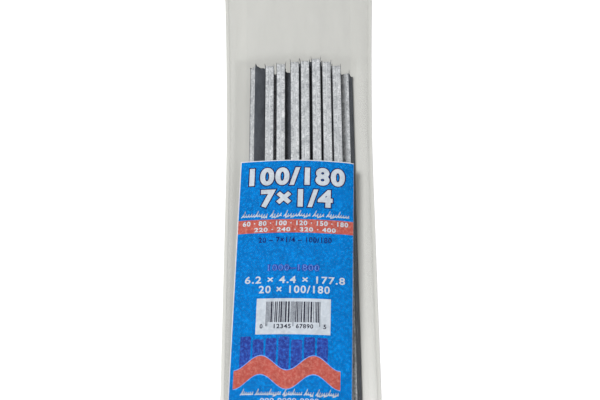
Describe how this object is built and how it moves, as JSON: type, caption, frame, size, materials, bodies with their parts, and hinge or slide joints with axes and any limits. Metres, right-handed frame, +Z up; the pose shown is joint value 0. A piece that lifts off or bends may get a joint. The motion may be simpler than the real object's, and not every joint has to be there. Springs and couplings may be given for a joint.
{
  "type": "sanding stick pack",
  "caption": "Bundle of foam-cored sanding sticks, coarse on one face and fine on the other, in an open-mouthed clear poly sleeve with a printed paper label insert.",
  "frame": {"origin": "middle of the pack's outline, on the surface that it lies on", "axes": "+X across the pack, +Y along the sticks towards the sleeve's open mouth, +Z up through the front film and label"},
  "size_m": [0.0818, 0.26, 0.0163],
  "materials": {
    "clear_film": "glossy",
    "film_weld": "glossy",
    "label_paper": "matte paper",
    "foam": "matte closed-cell foam",
    "abrasive": "gritty"
  },
  "bodies": {
    "sleeve": {"sleeve_front_film": "clear_film", "sleeve_back_film": "clear_film", "left_side_seam": "film_weld", "right_side_seam": "film_weld", "bottom_seal": "film_weld"},
    "label": {"label_insert": "label_paper"},
    "stick_01": {"stick_01_core": "foam", "stick_01_grit": "abrasive"},
    "stick_02": {"stick_02_core": "foam", "stick_02_grit": "abrasive"},
    "stick_03": {"stick_03_core": "foam", "stick_03_grit": "abrasive"},
    "stick_04": {"stick_04_core": "foam", "stick_04_grit": "abrasive"},
    "stick_05": {"stick_05_core": "foam", "stick_05_grit": "abrasive"},
    "stick_06": {"stick_06_core": "foam", "stick_06_grit": "abrasive"},
    "stick_07": {"stick_07_core": "foam", "stick_07_grit": "abrasive"},
    "stick_08": {"stick_08_core": "foam", "stick_08_grit": "abrasive"},
    "stick_09": {"stick_09_core": "foam", "stick_09_grit": "abrasive"},
    "stick_10": {"stick_10_core": "foam", "stick_10_grit": "abrasive"},
    "stick_11": {"stick_11_core": "foam", "stick_11_grit": "abrasive"},
    "stick_12": {"stick_12_core": "foam", "stick_12_grit": "abrasive"},
    "stick_13": {"stick_13_core": "foam", "stick_13_grit": "abrasive"},
    "stick_14": {"stick_14_core": "foam", "stick_14_grit": "abrasive"},
    "stick_15": {"stick_15_core": "foam", "stick_15_grit": "abrasive"},
    "stick_16": {"stick_16_core": "foam", "stick_16_grit": "abrasive"},
    "stick_17": {"stick_17_core": "foam", "stick_17_grit": "abrasive"},
    "stick_18": {"stick_18_core": "foam", "stick_18_grit": "abrasive"},
    "stick_19": {"stick_19_core": "foam", "stick_19_grit": "abrasive"},
    "stick_20": {"stick_20_core": "foam", "stick_20_grit": "abrasive"}
  },
  "joints": [
    {"name": "label_slide", "type": "slide", "parent": "sleeve", "child": "label", "axis": [0, 1, 0], "range_m": [0, 0.252]},
    {"name": "stick_01_slide", "type": "slide", "parent": "sleeve", "child": "stick_01", "axis": [0, 1, 0], "range_m": [0, 0.256]},
    {"name": "stick_02_slide", "type": "slide", "parent": "sleeve", "child": "stick_02", "axis": [0, 1, 0], "range_m": [0, 0.256]},
    {"name": "stick_03_slide", "type": "slide", "parent": "sleeve", "child": "stick_03", "axis": [0, 1, 0], "range_m": [0, 0.256]},
    {"name": "stick_04_slide", "type": "slide", "parent": "sleeve", "child": "stick_04", "axis": [0, 1, 0], "range_m": [0, 0.256]},
    {"name": "stick_05_slide", "type": "slide", "parent": "sleeve", "child": "stick_05", "axis": [0, 1, 0], "range_m": [0, 0.256]},
    {"name": "stick_06_slide", "type": "slide", "parent": "sleeve", "child": "stick_06", "axis": [0, 1, 0], "range_m": [0, 0.256]},
    {"name": "stick_07_slide", "type": "slide", "parent": "sleeve", "child": "stick_07", "axis": [0, 1, 0], "range_m": [0, 0.256]},
    {"name": "stick_08_slide", "type": "slide", "parent": "sleeve", "child": "stick_08", "axis": [0, 1, 0], "range_m": [0, 0.256]},
    {"name": "stick_09_slide", "type": "slide", "parent": "sleeve", "child": "stick_09", "axis": [0, 1, 0], "range_m": [0, 0.256]},
    {"name": "stick_10_slide", "type": "slide", "parent": "sleeve", "child": "stick_10", "axis": [0, 1, 0], "range_m": [0, 0.256]},
    {"name": "stick_11_slide", "type": "slide", "parent": "sleeve", "child": "stick_11", "axis": [0, 1, 0], "range_m": [0, 0.256]},
    {"name": "stick_12_slide", "type": "slide", "parent": "sleeve", "child": "stick_12", "axis": [0, 1, 0], "range_m": [0, 0.256]},
    {"name": "stick_13_slide", "type": "slide", "parent": "sleeve", "child": "stick_13", "axis": [0, 1, 0], "range_m": [0, 0.256]},
    {"name": "stick_14_slide", "type": "slide", "parent": "sleeve", "child": "stick_14", "axis": [0, 1, 0], "range_m": [0, 0.256]},
    {"name": "stick_15_slide", "type": "slide", "parent": "sleeve", "child": "stick_15", "axis": [0, 1, 0], "range_m": [0, 0.256]},
    {"name": "stick_16_slide", "type": "slide", "parent": "sleeve", "child": "stick_16", "axis": [0, 1, 0], "range_m": [0, 0.256]},
    {"name": "stick_17_slide", "type": "slide", "parent": "sleeve", "child": "stick_17", "axis": [0, 1, 0], "range_m": [0, 0.256]},
    {"name": "stick_18_slide", "type": "slide", "parent": "sleeve", "child": "stick_18", "axis": [0, 1, 0], "range_m": [0, 0.256]},
    {"name": "stick_19_slide", "type": "slide", "parent": "sleeve", "child": "stick_19", "axis": [0, 1, 0], "range_m": [0, 0.256]},
    {"name": "stick_20_slide", "type": "slide", "parent": "sleeve", "child": "stick_20", "axis": [0, 1, 0], "range_m": [0, 0.256]}
  ]
}
